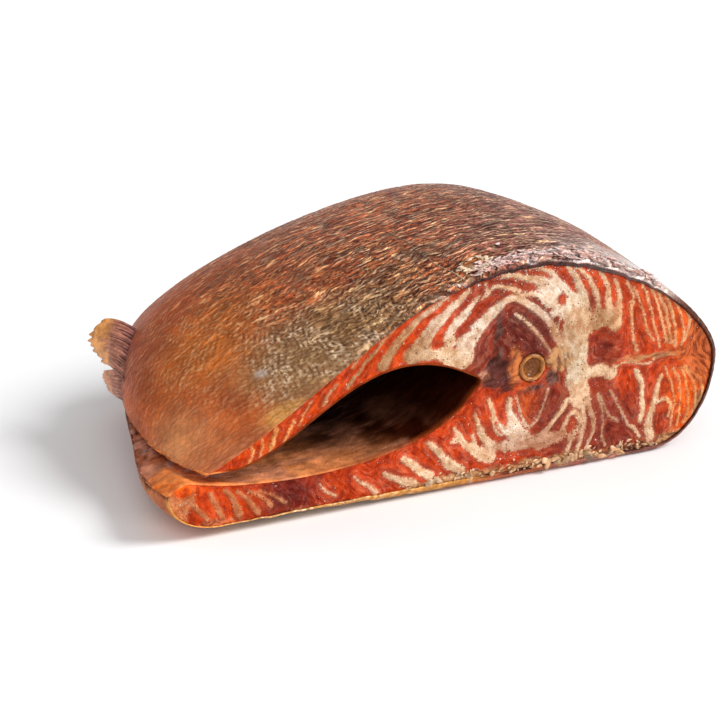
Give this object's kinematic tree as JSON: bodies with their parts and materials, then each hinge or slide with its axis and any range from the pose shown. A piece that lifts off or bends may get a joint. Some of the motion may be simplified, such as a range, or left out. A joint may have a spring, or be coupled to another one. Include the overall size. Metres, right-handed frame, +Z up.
{
  "type": "smoked fish piece",
  "caption": "Thick middle piece of a gutted smoked fish, lying on one flank, with scaly skin, cut flesh round the backbone, an open belly and pelvic fins.",
  "frame": {"origin": "on the surface, under the middle of the piece's box", "axes": "+X towards the back of the fish, +Y along the backbone from the cut with the wide belly to the far cut, +Z up from the flank it lies on"},
  "size_m": [0.211, 0.1216, 0.0843],
  "materials": {
    "fish_skin": "smoked copper brown skin with small scales and an oily sheen",
    "fish_flesh": "moist orange red flesh with cream marbling",
    "cavity_lining": "dark smoked membrane with an oily sheen",
    "fin": "dry tan fin rays with darker web",
    "bone": "waxy amber bone"
  },
  "bodies": {
    "root": {"fish_piece": "fish_flesh", "backbone": "bone"}
  },
  "joints": []
}
